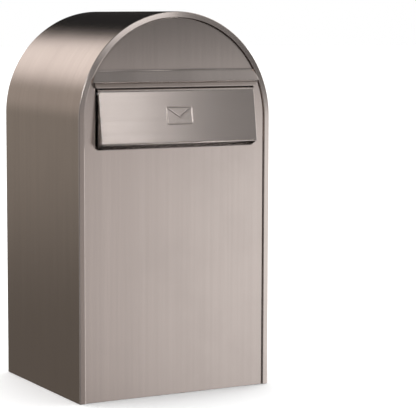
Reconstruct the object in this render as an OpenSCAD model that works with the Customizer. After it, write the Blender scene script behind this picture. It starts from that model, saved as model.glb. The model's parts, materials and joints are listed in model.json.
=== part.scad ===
// Free-standing steel letter box: letters go in under a flap at the front and come out
// through a locked drop-down door at the back.
// Frame: +Z up, front towards -Y, origin at the centre of the underside. Millimetres.

/* [Body] */
// Width over the side walls
body_w = 340; // [330:1:360]
// Height from the underside to the crown of the arch
body_h = 610; // [590:1:640]
// Depth between the front and back rims
body_d = 295; // [280:1:320]
// Sheet thickness of the shell
shell_t = 1.5; // [1.2:0.1:1.6]
// Sheet thickness of the panels, flap and door
panel_t = 1.2; // [1.0:0.1:1.4]
// Width of the rim that frames the front and the back
rim_w = 10; // [9:0.5:11]
// Depth of the lip turned in behind each rim
lip_d = 14; // [12:0.5:16]
// Outside radius of the bends along the rim
rim_bend_r = 2.5; // [2:0.1:3]
// Step from the front rim back to the front panels
front_recess = 5; // [4:0.5:6]
// Step from the back rim in to the back panel and the door
back_recess = 2.5; // [2:0.5:3]

/* [Letter slot and hood] */
// Width of the letter opening
slot_w = 282; // [280:1:284]
// Height of the opening's lower edge
slot_low_z = 398; // [397:0.5:400]
// Height of the opening's upper edge
slot_high_z = 493; // [492.5:0.5:494]
// Height of the crease where the hood starts
crease_z = 517.5; // [515:0.5:520]
// Height of the hood's front edge
hood_edge_z = 500.5; // [500:0.5:502]
// How far the hood's front edge stands out from the panel
hood_out = 7.5; // [7:0.5:8]
// How far the bottom of the hood's front band stands out from the panel
band_out = 9; // [8.5:0.5:9.5]
// Height of the bottom of the hood's front band
band_low_z = 492; // [491.5:0.25:492.5]

/* [Flap] */
// Width of the flap
flap_w = 277; // [275:1:278]
// Height of the top of the flap
flap_top_z = 489; // [488:0.5:489]
// Height of the flap's front lower edge
flap_low_z = 404.5; // [402:0.5:408]
// Height of the chin's back edge
chin_z = 395.5; // [395:0.5:397]
// How far the flap's top edge stands out from the panel
flap_top_out = 8; // [7.5:0.5:8.5]
// How far the flap's lower edge stands out from the panel
flap_low_out = 20; // [18:0.5:22]
// Height of the flap's hinge axis
flap_axis_z = 483; // [482:0.5:483.5]
// Diameter of the flap's hinge pin
flap_pin_d = 5; // [4:0.5:5]

/* [Door] */
// Width of the door
door_w = 280; // [276:1:282]
// Height of the door's top edge
door_top_z = 362; // [350:1:364]
// Height of the door's lower edge
door_low_z = 4; // [4:0.5:5]
// Depth of the flanges turned in around the door
door_depth = 15; // [14:0.5:16]
// Height of the door's hinge axis
door_axis_z = 10; // [10:0.5:11]
// Distance from the door's face in to its hinge axis
door_axis_in = 8; // [7.5:0.5:8.5]
// Diameter of the door's pivot pins
door_pin_d = 6; // [5:0.5:6]
// Gap around the door
door_gap = 1.5; // [1.5:0.1:2]

/* [Lock] */
// Distance from the door's top edge down to the lock
lock_drop = 28; // [26:1:32]
// Diameter of the lock's head
lock_head_d = 22; // [20:0.5:24]
// Diameter of the lock's barrel
lock_barrel_d = 19; // [18:0.5:19]
// Length of the lock's barrel behind the door skin
lock_barrel_l = 20; // [18:0.5:22]
// Reach of the cam from the lock's axis to its tip
cam_reach = 44; // [42:0.5:46]

/* [Fixing] */
// Left-to-right distance between the base bolts
bolt_x = 200; // [160:5:240]
// Front-to-back distance between the base bolts
bolt_y = 160; // [120:5:180]
// Diameter of the base bolt holes
bolt_hole_d = 9; // [7:0.5:11]

/* [Hidden] */

// facets of the large arches, the lock's head, other rounds and small fasteners
arch_fn = 180;
fine = 96;
medium = 48;
coarse = 24;
// thickness of the plates that only stand for a line in a hull
hair = 0.01;
// clearance round a turning pin, between sheets that lie on each other, and at the walls
pin_play = 0.05;
lay_gap = 0.2;
wall_gap = 0.1;

half_w = body_w / 2;
half_d = body_d / 2;
spring_z = body_h - half_w;
wall_in = half_w - shell_t;
rim_in = half_w - rim_w;
front_y = -half_d + front_recess;
front_back_y = front_y + panel_t;
back_y = half_d - back_recess;
back_in_y = back_y - panel_t;
tray_d = 9;
panel_bend_r = 1.8;

fold_z = 496;
hood_half_low = 145;
hood_half_high = 135;
band_half_low = 140;
hood_y = front_y - hood_out;
band_y = front_y - band_out;

flap_half = flap_w / 2;
flap_axis_y = front_y - 1.5;
flap_top_y = front_y - flap_top_out;
flap_low_y = front_y - flap_low_out;
flap_back_y = front_y - 1.4;
flap_corner_z = flap_top_z - 2.5;
flap_fold_y = flap_top_y + 2.4;
ear_x = flap_half - panel_t - 3.2;
ear_t = 1.5;
clip_t = 0.8;
flap_ear_r = 5.2;
lintel_d = 22;

door_half = door_w / 2;
opening_half = door_half + door_gap;
opening_top_z = door_top_z + door_gap;
door_axis_y = back_y - door_axis_in;
door_in_y = back_y - door_depth;
seal_t = 1.8;
stop_y = door_in_y - seal_t - 0.4;
frame_back_y = back_in_y - 4;
cam_notch_half = 20;
base_rear_y = door_axis_y - 9.6;

lock_z = door_top_z - lock_drop;
lock_head_t = 3;
gasket_t = 0.6;
lock_face_y = back_y + gasket_t + lock_head_t;
plug_r = 6.5;
barrel_end_y = back_in_y - lock_barrel_l;
stiffener_d = 9;
cam_t = 2;
cam_w = 14;
cam_front_y = barrel_end_y - 0.4;
cam_back_y = cam_front_y - cam_t;
cam_shaft_r = 4;
cam_screw_r = 2.1;
cam_washer_t = 1;
strike_t = 1.5;

drain_x = 145;
drain_y = 108;
drain_d = 6;

guide_stud_x = [-100, 0, 100];
guide_top_z = 390;
guide_stud_z = 382;

sheet = [0.74, 0.71, 0.69];
sheet_dark = [0.6, 0.58, 0.57];
zinc = [0.78, 0.79, 0.8];
rubber = [0.08, 0.08, 0.08];
chrome = [0.85, 0.86, 0.88];

// ---- shared shapes ----

// Rectangle from (x0, y0) to (x1, y1) with true round corners
module round_rect(x0, y0, x1, y1, r) {
    translate([x0 + r, y0]) square([x1 - x0 - 2 * r, y1 - y0]);
    translate([x0, y0 + r]) square([x1 - x0, y1 - y0 - 2 * r]);
    for (x = [x0 + r, x1 - r], y = [y0 + r, y1 - r])
        translate([x, y]) circle(r, $fn = medium);
}

// A section in (distance from the centre plane, depth) swept up one side, over the arch
// and down the other side
module wrap() {
    both_sides() linear_extrude(spring_z) children();
    translate([0, 0, spring_z]) rotate([90, 0, 0])
        rotate_extrude(angle = 180, $fn = arch_fn) mirror([0, 1]) children();
}

// Flat outline of the arch: a rectangle under a half circle
module arch_outline(half, low_z) {
    translate([-half, low_z]) square([2 * half, spring_z - low_z]);
    intersection() {
        translate([0, spring_z]) circle(half, $fn = arch_fn);
        translate([-half, spring_z - hair]) square([2 * half, half + 1]);
    }
}

// Plate drawn in (x, z) and given a thickness from depth y0 to y1
module plate(y0, y1) {
    translate([0, y1, 0]) rotate([90, 0, 0]) linear_extrude(y1 - y0) children();
}

// Section drawn in (y, z) and run from x0 to x1
module run_x(x0, x1) {
    translate([x0, 0, 0]) rotate([90, 0, 90]) linear_extrude(x1 - x0) children();
}

module box(x0, y0, z0, x1, y1, z1) {
    translate([x0, y0, z0]) cube([x1 - x0, y1 - y0, z1 - z0]);
}

module both_sides() {
    children();
    mirror([1, 0, 0]) children();
}

// Cylinder along Y from y0 to y1
module rod_y(x, z, r, y0, y1) {
    translate([x, y1, z]) rotate([90, 0, 0]) cylinder(r = r, h = y1 - y0, $fn = medium);
}

// Cylinder along X from x0 to x1
module rod_x(y, z, r, x0, x1) {
    translate([x0, y, z]) rotate([0, 90, 0]) cylinder(r = r, h = x1 - x0, $fn = medium);
}

// Strip of sheet that follows the points p, laid on their left side
module strip(p, t) {
    n = len(p);
    dir = [for (i = [0 : n - 2]) (p[i + 1] - p[i]) / norm(p[i + 1] - p[i])];
    side = [for (d = dir) [-d[1], d[0]]];
    inner = [for (i = [0 : n - 1])
        i == 0 ? p[0] + t * side[0]
        : i == n - 1 ? p[n - 1] + t * side[n - 2]
        : p[i] + t * (side[i - 1] + side[i]) / (1 + side[i - 1] * side[i])];
    polygon(concat(p, [for (i = [n - 1 : -1 : 0]) inner[i]]));
}

// ---- housing ----

module rim_section() {
    difference() {
        round_rect(rim_in, -half_d, half_w, half_d, rim_bend_r);
        round_rect(rim_in + shell_t, -half_d + shell_t, wall_in, half_d - shell_t,
            rim_bend_r - shell_t);
        translate([rim_in - 1, -half_d + lip_d])
            square([shell_t + 2, body_d - 2 * lip_d]);
    }
}

module shell() {
    color(sheet) wrap() rim_section();
}

// Turned-in edge of a panel, with a rounded bend at its face
module tray_edge_section(face, inward) {
    s = inward > 0 ? 1 : -1;
    y_far = face + s * tray_d;
    difference() {
        union() {
            translate([rim_in - panel_t, min(face + s * panel_bend_r, y_far)])
                square([panel_t, tray_d - panel_bend_r]);
            intersection() {
                translate([rim_in - panel_bend_r, face + s * panel_bend_r])
                    circle(panel_bend_r, $fn = medium);
                translate([rim_in - panel_bend_r, min(face, face + s * panel_bend_r)])
                    square([panel_bend_r, panel_bend_r]);
            }
        }
        translate([rim_in - panel_bend_r, face + s * panel_bend_r])
            circle(panel_bend_r - panel_t, $fn = medium);
    }
}

// The part of a panel's folded edge between two heights
module arch_edges(face, inward, low_z, high_z) {
    intersection() {
        wrap() tray_edge_section(face, inward);
        box(-half_w, -half_d, low_z, half_w, half_d, high_z);
    }
}

module front_panel() {
    color(sheet) {
        difference() {
            union() {
                plate(front_y, front_back_y) intersection() {
                    arch_outline(rim_in - panel_bend_r, 0);
                    translate([-half_w, 0]) square([body_w, fold_z]);
                }
                arch_edges(front_y, 1, 0, fold_z);
            }
            box(-slot_w / 2, front_y - 1, slot_low_z, slot_w / 2, front_back_y + 1, slot_high_z);
        }
        run_x(-slot_w / 2, slot_w / 2) translate([front_y + panel_t / 2, slot_high_z])
            square([lintel_d, panel_t]);
    }
}

module hood_outer() {
    foot_low = hood_half_low + 3;
    foot_band = band_half_low + 2;
    hull() {
        box(-hood_half_high, front_y, crease_z, hood_half_high, front_y + hair, crease_z + hair);
        box(-hood_half_low, hood_y, hood_edge_z, hood_half_low, hood_y + hair,
            hood_edge_z + hair);
        box(-foot_low, front_y, hood_edge_z, foot_low, front_y + hair, hood_edge_z + hair);
        box(-band_half_low, band_y, band_low_z, band_half_low, band_y + hair,
            band_low_z + hair);
        box(-hood_half_low, front_y, fold_z, hood_half_low, front_y + hair, fold_z + hair);
        box(-foot_band, front_y, band_low_z, foot_band, front_y + hair, band_low_z + hair);
    }
}

module hood_inner() {
    t = panel_t;
    deep = front_y + 2;
    hull() {
        box(-hood_half_high, deep, crease_z, hood_half_high, deep + hair, crease_z + hair);
        box(-hood_half_low + t, hood_y + t, hood_edge_z - t / 2, hood_half_low - t,
            hood_y + t + hair, hood_edge_z);
        box(-band_half_low + t, band_y + t, band_low_z - 1, band_half_low - t,
            band_y + t + hair, band_low_z);
        box(-hood_half_low + t, deep, band_low_z - 1, hood_half_low - t, deep + hair,
            hood_edge_z);
    }
}

module hood_panel() {
    color(sheet) difference() {
        union() {
            plate(front_y, front_back_y) intersection() {
                arch_outline(rim_in - panel_bend_r, 0);
                translate([-half_w, fold_z]) square([body_w, body_h]);
            }
            arch_edges(front_y, 1, fold_z, body_h);
            hood_outer();
        }
        hood_inner();
    }
}

module back_panel() {
    color(sheet) {
        difference() {
            union() {
                plate(back_in_y, back_y) arch_outline(rim_in - panel_bend_r, 0);
                wrap() tray_edge_section(back_y, -1);
            }
            box(-opening_half, back_in_y - 1, -1, opening_half, back_y + 1, opening_top_z);
        }
        both_sides() difference() {
            box(opening_half, stop_y, shell_t, opening_half + panel_t, back_in_y,
                opening_top_z + panel_t);
            rod_x(door_axis_y, door_axis_z, door_pin_d / 2, opening_half - 1,
                opening_half + panel_t + 1);
        }
        box(-opening_half, stop_y, opening_top_z, opening_half, back_in_y,
            opening_top_z + panel_t);
    }
}

floor_side = wall_in - wall_gap;
floor_neck = rim_in - panel_t - lay_gap;
floor_reach = half_d - lip_d - lay_gap;
floor_front_y = front_back_y + lay_gap;

// Outline of the floor: it fills the shell, steps in past the lips and panel edges, and
// stops short of the door
module floor_outline() {
    door_side = opening_half - 1.5;
    difference() {
        union() {
            translate([-floor_side, -floor_reach]) square([2 * floor_side, 2 * floor_reach]);
            translate([-floor_neck, floor_front_y])
                square([2 * floor_neck, back_in_y - lay_gap - floor_front_y]);
        }
        translate([-door_side, base_rear_y]) square([2 * door_side, half_d]);
    }
}

module base_plate() {
    flange_h = 20;
    rear_h = 12;
    rear_half = opening_half - 3;
    color(sheet_dark) difference() {
        union() {
            linear_extrude(shell_t) floor_outline();
            both_sides() box(floor_side - shell_t, -floor_reach, 0, floor_side, floor_reach,
                flange_h);
            box(-floor_neck, floor_front_y, 0, floor_neck, floor_front_y + shell_t, flange_h);
            box(-rear_half, base_rear_y - shell_t, 0, rear_half, base_rear_y, rear_h);
        }
        for (x = [-bolt_x / 2, bolt_x / 2], y = [-bolt_y / 2, bolt_y / 2])
            translate([x, y, -1]) cylinder(d = bolt_hole_d, h = shell_t + 2, $fn = medium);
        for (x = [-drain_x, drain_x], y = [-drain_y, drain_y])
            translate([x, y, -1]) cylinder(d = drain_d, h = shell_t + 2, $fn = coarse);
    }
}

// Hat-section rail that stiffens the floor beside the bolts
module base_rail(x) {
    half = 17;
    foot = 27;
    rail_h = 10;
    half_l = bolt_y / 2 + 35;
    socket_d = 20;
    t = shell_t;
    color(sheet_dark) difference() {
        translate([x, 0, t]) {
            both_sides() box(half - t, -half_l, 0, foot, half_l, t);
            both_sides() box(half - t, -half_l, 0, half, half_l, rail_h);
            box(-half, -half_l, rail_h - t, half, half_l, rail_h);
        }
        for (y = [-bolt_y / 2, bolt_y / 2])
            translate([x, y, t + 2]) cylinder(d = socket_d, h = rail_h, $fn = medium);
    }
}

module base_rail_left() {
    base_rail(-bolt_x / 2);
}

module base_rail_right() {
    base_rail(bolt_x / 2);
}

// Sloping sheet behind the slot: letters slide down it, and a hand can't reach past it
module letter_guide() {
    foot = front_back_y;
    color(sheet_dark) difference() {
        run_x(-slot_w / 2 + 6, slot_w / 2 - 6) strip([
            [foot, guide_stud_z - 10], [foot, guide_top_z + 2],
            [foot + 24, guide_top_z - 2], [foot + 96, guide_top_z - 62],
            [foot + 96, guide_top_z - 74]], -panel_t);
        for (x = guide_stud_x) rod_y(x, guide_stud_z, 2.3, foot - 1, foot + 3);
    }
}

module guide_studs() {
    color(zinc) for (x = guide_stud_x)
        rod_y(x, guide_stud_z, 2, front_back_y, front_back_y + 9);
}

module guide_nuts() {
    seat = front_back_y + panel_t;
    color(zinc) for (x = guide_stud_x) difference() {
        union() {
            translate([x, seat + 4.2, guide_stud_z]) rotate([90, 0, 0])
                cylinder(d = 7.7, h = 4, $fn = 6);
            rod_y(x, guide_stud_z, 4.6, seat, seat + 0.8);
        }
        rod_y(x, guide_stud_z, 2.02, seat - 1, seat + 5);
    }
}

// Rubber edging on the lower edge of the letter opening
module slot_trim() {
    front_lip = 0.5;
    back_lip = 1.1;
    deep = 3.6;
    crown = 1.4;
    half = slot_w / 2 - 4;
    color(rubber) run_x(-half, half) difference() {
        round_rect(front_y - front_lip, slot_low_z - deep, front_back_y + back_lip,
            slot_low_z + crown, 0.9);
        translate([front_y, slot_low_z - deep - 1]) square([panel_t, deep + 1]);
    }
}

bracket_rivet_x = [ear_x - 19, ear_x - 7];
bracket_rivet_y = front_y + 14;
rivet_r = 1.6;

// Bracket under the lintel that carries one end of the hinge pin
module hinge_bracket() {
    boss_r = 4.4;
    tab_top = slot_high_z;
    tab_low = tab_top - ear_t;
    tab_in = ear_x - 26;
    front = front_y + 3;
    knee = front_y + 14;
    back = front_y + lintel_d;
    color(sheet_dark) difference() {
        union() {
            box(tab_in, front, tab_low, ear_x + ear_t, back, tab_top);
            run_x(ear_x, ear_x + ear_t) union() {
                translate([flap_axis_y, flap_axis_z]) circle(boss_r, $fn = medium);
                polygon([[flap_axis_y, flap_axis_z - boss_r], [knee, flap_axis_z - boss_r],
                    [back, tab_low], [back, tab_top], [front, tab_top],
                    [front, flap_axis_z + boss_r], [flap_axis_y, flap_axis_z + boss_r]]);
            }
        }
        rod_x(flap_axis_y, flap_axis_z, flap_pin_d / 2, ear_x - 1, ear_x + ear_t + 1);
        for (x = bracket_rivet_x) translate([x, bracket_rivet_y, tab_low - 1])
            cylinder(r = rivet_r, h = ear_t + 2, $fn = coarse);
    }
}

module hinge_bracket_left() {
    mirror([1, 0, 0]) hinge_bracket();
}

module hinge_bracket_right() {
    hinge_bracket();
}

module bracket_rivets() {
    head_t = 0.8;
    head_r = 2.8;
    tab_low = slot_high_z - ear_t;
    color(zinc) both_sides() for (x = bracket_rivet_x) {
        translate([x, bracket_rivet_y, tab_low - head_t])
            cylinder(r = head_r, h = head_t, $fn = coarse);
        translate([x, bracket_rivet_y, tab_low]) cylinder(r = rivet_r, h = ear_t, $fn = coarse);
    }
}

module flap_hinge_pin() {
    overhang = 0.9;
    color(chrome) rod_x(flap_axis_y, flap_axis_z, flap_pin_d / 2, -flap_half - overhang,
        flap_half + overhang);
}

// Push-on clips that keep the pin from sliding
module pin_clips() {
    clip_r = 4.2;
    color(zinc) both_sides() difference() {
        rod_x(flap_axis_y, flap_axis_z, clip_r, ear_x - clip_t, ear_x);
        rod_x(flap_axis_y, flap_axis_z, flap_pin_d / 2, ear_x - clip_t - 1, ear_x + 1);
    }
}

// Angle frame inside the door opening: stops the door and carries the seal
module door_stop_frame() {
    cover = 10;
    flange = 12;
    side_low_z = 26;
    notch_drop = 4;
    jamb = opening_half + panel_t;
    head_z = opening_top_z + panel_t;
    color(sheet_dark) {
        both_sides() {
            box(opening_half - cover, stop_y - panel_t, side_low_z, jamb + flange, stop_y,
                head_z + flange);
            box(jamb, stop_y, side_low_z, jamb + panel_t, frame_back_y, head_z);
        }
        difference() {
            box(-opening_half + cover, stop_y - panel_t, opening_top_z - cover,
                opening_half - cover, stop_y, head_z + flange);
            box(-cam_notch_half, stop_y - panel_t - 1, opening_top_z - cover - 1,
                cam_notch_half, stop_y + 1, head_z + notch_drop);
        }
        box(-jamb - panel_t, stop_y, head_z, jamb + panel_t, frame_back_y, head_z + panel_t);
    }
}

frame_rivet_z = [60, 160, 260, 340];

module frame_rivets() {
    seat = opening_half + 2 * panel_t;
    head_t = 1.2;
    color(zinc) both_sides() for (z = frame_rivet_z)
        rod_x((stop_y + frame_back_y) / 2, z, 3, seat, seat + head_t);
}

// Foam strip that the door's flanges close against
module door_seal() {
    inner = door_half - 7;
    outer = door_half + 1;
    low_z = 30;
    top_z = opening_top_z - 0.6;
    strip_h = 8.4;
    color(rubber) difference() {
        box(-outer, stop_y, low_z, outer, stop_y + seal_t, top_z);
        box(-inner, stop_y - 1, low_z - 1, inner, stop_y + seal_t + 1, top_z - strip_h);
        box(-cam_notch_half, stop_y - 1, top_z - strip_h - 1, cam_notch_half,
            stop_y + seal_t + 1, top_z + 1);
    }
}

// Shoulder rivets that the door turns on
module door_pivot_pins() {
    inner = door_half - panel_t - 0.4;
    outer = opening_half + panel_t;
    pin_r = door_pin_d / 2;
    color(zinc) both_sides() {
        rod_x(door_axis_y, door_axis_z, pin_r, inner, outer);
        rod_x(door_axis_y, door_axis_z, pin_r + 2, outer, outer + 1.5);
        rod_x(door_axis_y, door_axis_z, pin_r + 1.5, inner - 1.2, inner);
    }
}

strike_back_y = stop_y - panel_t;
strike_front_y = strike_back_y - strike_t;
strike_rivet_x = [-11, 11];
strike_rivet_z = opening_top_z + panel_t + 9;

// Plate over the top of the door opening that the cam turns behind
module strike_plate() {
    half = 18;
    low_z = opening_top_z - 1;
    color(zinc) difference() {
        box(-half, strike_front_y, low_z, half, strike_back_y, low_z + 29);
        for (x = strike_rivet_x)
            rod_y(x, strike_rivet_z, rivet_r, strike_front_y - 1, strike_back_y + 1);
    }
}

module strike_rivets() {
    head_t = 0.6;
    color(zinc) for (x = strike_rivet_x) {
        rod_y(x, strike_rivet_z, 2.6, strike_front_y - head_t, strike_front_y);
        rod_y(x, strike_rivet_z, rivet_r, strike_front_y, strike_back_y);
    }
}

// ---- flap ----

// Corners of the flap's folded sheet in (y, z), from the chin's back edge over the face
flap_folds = [[flap_back_y, chin_z], [flap_low_y, flap_low_z], [flap_top_y, flap_corner_z],
    [flap_fold_y, flap_top_z]];
flap_lean = (flap_low_out - flap_top_out) / (flap_corner_z - flap_low_z);

// Low raised picture of an envelope, pressed into the middle of the flap
module envelope_emboss() {
    w = 46;
    h = 28;
    line = 1.6;
    corner_r = 3;
    rise = 0.6;
    sunk = 0.2;
    tip = 3.2;
    mid_z = (flap_top_z + flap_low_z) / 2;
    mid_y = (flap_top_y + flap_low_y) / 2;
    translate([0, mid_y, mid_z]) rotate([-atan(flap_lean), 0, 0]) translate([0, sunk, 0])
        rotate([90, 0, 0]) linear_extrude(rise + sunk) {
        difference() {
            round_rect(-w / 2, -h / 2, w / 2, h / 2, corner_r);
            round_rect(-w / 2 + line, -h / 2 + line, w / 2 - line, h / 2 - line,
                corner_r - line);
        }
        for (s = [-1, 1]) polygon([[s * (w / 2 - 1.2), h / 2 - 2.8], [0, -tip],
            [0, 2 - tip], [s * (w / 2 - 2.6), h / 2 - 1.4]]);
    }
}

module mail_flap() {
    notch = 8.5;
    top_end = [flap_back_y + 3, flap_top_z];
    side_end = [flap_back_y, flap_top_z];
    color(sheet) difference() {
        union() {
            run_x(-flap_half, flap_half) strip(concat(flap_folds, [top_end]), -panel_t);
            both_sides() run_x(flap_half - panel_t, flap_half) {
                polygon(concat(flap_folds, [side_end]));
                translate([flap_axis_y, flap_axis_z]) circle(flap_ear_r, $fn = medium);
            }
            envelope_emboss();
        }
        both_sides() {
            box(flap_half - panel_t - notch, flap_fold_y - 0.2, flap_top_z - 6,
                flap_half - panel_t, front_y + 9, flap_top_z + 1);
            rod_x(flap_axis_y, flap_axis_z, flap_pin_d / 2 + pin_play, flap_half - 3,
                flap_half + 1);
        }
    }
}

// Depth of the inner side of the flap's face at height z
function flap_in_y(z) = flap_low_y + (z - flap_low_z) * flap_lean + panel_t * 1.02;

// Channel inside the flap that keeps its face flat
module flap_rib() {
    span = flap_half - 12;
    mid = (flap_top_z + flap_low_z) / 2 + 8;
    half = 9;
    deep = 4;
    t = 1;
    low = mid - half;
    high = mid + half;
    color(sheet_dark) run_x(-span, span) polygon([
        [flap_in_y(low), low], [flap_in_y(low) + deep, low + 2],
        [flap_in_y(high) + deep, high - 2], [flap_in_y(high), high],
        [flap_in_y(high - 3 * t), high - 3 * t],
        [flap_in_y(high - 3 * t) + deep - t, high - 4 * t],
        [flap_in_y(low + 3 * t) + deep - t, low + 4 * t],
        [flap_in_y(low + 3 * t), low + 3 * t]]);
}

// Rubber buttons behind the chin that soften the flap's closing
module flap_buffers() {
    back = flap_back_y - 0.1;
    front = flap_back_y - 5.2;
    color(rubber) both_sides() run_x(flap_half - 24, flap_half - 12)
        polygon([[front, chin_z + 3.9], [back, chin_z + 1.5], [back, chin_z + 5.5],
            [front, chin_z + 6.5]]);
}

// ---- door ----

module door_panel() {
    t = panel_t;
    color(sheet) difference() {
        union() {
            box(-door_half, back_in_y, door_low_z, door_half, back_y, door_top_z);
            both_sides() box(door_half - t, door_in_y, door_low_z, door_half, back_in_y,
                door_top_z);
            box(-door_half, door_in_y, door_low_z, door_half, back_in_y, door_low_z + t);
            box(-door_half, door_in_y, door_top_z - t, door_half, back_in_y, door_top_z);
        }
        both_sides() rod_x(door_axis_y, door_axis_z, door_pin_d / 2 + pin_play, door_half - 3,
            door_half + 1);
        rod_y(0, lock_z, lock_barrel_d / 2, back_in_y - 1, back_y + 1);
    }
}

// Hat-section cross rail welded inside the door around the lock
module door_stiffener() {
    t = panel_t;
    span = door_half - t - 8;
    low = lock_z - 22;
    high = lock_z + 22;
    foot = 10;
    slope = 4;
    top_y = back_in_y - stiffener_d;
    color(sheet_dark) difference() {
        run_x(-span, span) strip([[back_in_y, low - foot], [back_in_y, low],
            [top_y, low + slope], [top_y, high - slope], [back_in_y, high]], t);
        rod_y(0, lock_z, lock_barrel_d / 2, top_y - 2 * t, back_y);
    }
}

module lock_housing() {
    r = lock_head_d / 2;
    edge_in = 1.6;
    edge_back = 1.4;
    color(chrome) difference() {
        union() {
            translate([0, lock_face_y, lock_z]) rotate([90, 0, 0])
                rotate_extrude($fn = fine) polygon([[0, 0], [r - edge_in, 0],
                    [r, edge_back], [r, lock_head_t], [0, lock_head_t]]);
            rod_y(0, lock_z, lock_barrel_d / 2, barrel_end_y, back_y + gasket_t + 0.1);
        }
        rod_y(0, lock_z, plug_r + pin_play, barrel_end_y - 1, lock_face_y + 1);
    }
}

module lock_gasket() {
    color(rubber) difference() {
        rod_y(0, lock_z, lock_head_d / 2 - 0.3, back_y, back_y + gasket_t);
        rod_y(0, lock_z, lock_barrel_d / 2, back_y - 1, back_y + 1);
    }
}

module lock_nut() {
    seat = back_in_y - stiffener_d - panel_t;
    thick = 4;
    across = 27;
    color(zinc) difference() {
        translate([0, seat, lock_z]) rotate([90, 0, 0]) cylinder(d = across, h = thick, $fn = 6);
        rod_y(0, lock_z, lock_barrel_d / 2, seat - thick - 1, seat + 1);
    }
}

// ---- lock plug and cam ----

module lock_plug() {
    face = lock_face_y - 0.6;
    key_w = 1.6;
    key_h = 7.5;
    key_deep = 9;
    screw_deep = 6;
    color(chrome) difference() {
        union() {
            rod_y(0, lock_z, plug_r, barrel_end_y, face);
            rod_y(0, lock_z, cam_shaft_r, cam_back_y, barrel_end_y);
        }
        box(-key_h / 2, face - key_deep, lock_z - key_w / 2, key_h / 2, face + 1,
            lock_z + key_w / 2);
        rod_y(0, lock_z, cam_screw_r, cam_back_y - 1, barrel_end_y + screw_deep);
    }
}

// Flat cam, seen here in its unlocked place, pointing sideways
module lock_cam() {
    tip_x = cam_reach - cam_w / 2;
    color(zinc) plate(cam_back_y, cam_front_y) difference() {
        union() {
            translate([0, lock_z]) circle(cam_w / 2 + 1, $fn = medium);
            translate([0, lock_z - cam_w / 2]) square([tip_x, cam_w]);
            translate([tip_x, lock_z]) circle(cam_w / 2, $fn = medium);
        }
        translate([0, lock_z]) circle(cam_shaft_r, $fn = medium);
    }
}

module cam_washer() {
    color(zinc) difference() {
        rod_y(0, lock_z, 6.5, cam_back_y - cam_washer_t, cam_back_y);
        rod_y(0, lock_z, cam_screw_r, cam_back_y - cam_washer_t - 1, cam_back_y + 1);
    }
}

module cam_screw() {
    seat = cam_back_y - cam_washer_t;
    head_d = 8.1;
    head_h = 3;
    screw_end = barrel_end_y + 5;
    color(zinc) union() {
        translate([0, seat, lock_z]) rotate([90, 0, 0]) cylinder(d = head_d, h = head_h, $fn = 6);
        rod_y(0, lock_z, cam_screw_r - 0.02, seat, screw_end);
    }
}

shell();
front_panel();
hood_panel();
back_panel();
base_plate();
base_rail_left();
base_rail_right();
letter_guide();
guide_studs();
guide_nuts();
slot_trim();
hinge_bracket_left();
hinge_bracket_right();
bracket_rivets();
flap_hinge_pin();
pin_clips();
door_stop_frame();
frame_rivets();
door_seal();
door_pivot_pins();
strike_plate();
strike_rivets();
mail_flap();
flap_rib();
flap_buffers();
door_panel();
door_stiffener();
lock_housing();
lock_gasket();
lock_nut();
lock_plug();
lock_cam();
cam_washer();
cam_screw();
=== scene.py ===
"""Arched letter box of brushed stainless steel: visual model, studio and camera."""
import json
import math

import bmesh
import bpy
from mathutils import Matrix, Vector


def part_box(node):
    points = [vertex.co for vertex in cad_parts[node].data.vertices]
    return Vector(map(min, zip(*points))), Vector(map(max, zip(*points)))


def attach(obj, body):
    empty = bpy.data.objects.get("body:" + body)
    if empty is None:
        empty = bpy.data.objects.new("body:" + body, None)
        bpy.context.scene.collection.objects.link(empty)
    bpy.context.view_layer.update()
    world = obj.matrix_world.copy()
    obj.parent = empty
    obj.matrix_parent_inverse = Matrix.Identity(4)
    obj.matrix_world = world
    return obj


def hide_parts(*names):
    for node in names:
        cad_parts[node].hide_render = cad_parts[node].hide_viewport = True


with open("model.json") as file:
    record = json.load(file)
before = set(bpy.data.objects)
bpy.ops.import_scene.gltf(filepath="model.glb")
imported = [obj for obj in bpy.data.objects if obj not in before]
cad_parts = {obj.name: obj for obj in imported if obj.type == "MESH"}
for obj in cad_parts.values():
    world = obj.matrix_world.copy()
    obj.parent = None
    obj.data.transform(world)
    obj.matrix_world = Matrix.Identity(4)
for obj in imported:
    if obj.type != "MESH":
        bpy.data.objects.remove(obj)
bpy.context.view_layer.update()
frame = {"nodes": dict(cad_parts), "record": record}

MM = 0.001
SAME = 1e-6    # points closer than this are one point
CLOSE = 1e-5   # heights closer than this are one row

# ---- sizes read from the frame ----

shell_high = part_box("shell")[1]
panel_low, panel_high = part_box("front_panel")
hood_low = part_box("hood_panel")[0]
back_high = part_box("back_panel")[1]
flap_low, flap_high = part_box("mail_flap")
door_low, door_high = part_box("door_panel")
seal_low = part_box("door_seal")[0]
lock_low, lock_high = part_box("lock_housing")

# ---- housing: y goes to the back, z goes up ----

HEIGHT = 610 * MM
HALF_W = shell_high.x
HALF_D = shell_high.y
SPRING_Z = HEIGHT - HALF_W   # the straight sides end here and the arch begins
SHELL_T = 1.5 * MM
SHEET_T = 1.2 * MM

RIM_IN = panel_high.x        # inner edge of the rims, and outline of the panels
RIM_BACK = 1.0 * MM          # how far the rims keep inside the box's depth
RIM_TILT = math.radians(5)
RIM_BEND = 1.3 * MM
RIM_INNER_BEND = 0.3 * MM
LIP = 14 * MM                # the lips behind the rims end this far from the front and back

PANEL_FORWARD = 1.0 * MM
FRONT_Y = panel_low.y - PANEL_FORWARD
BACK_Y = back_high.y
PANEL_BEND = 1.0 * MM
TRAY = 9 * MM                # depth of the panels' side flanges
ARCH_TOP = SPRING_Z + RIM_IN - PANEL_BEND - 0.02 * MM   # just short of the crown

SLOT_HALF = 141 * MM
SLOT_LOW = 398 * MM
SLOT_HIGH = 493 * MM
LINTEL = 22 * MM             # depth of the fold above the slot

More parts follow.
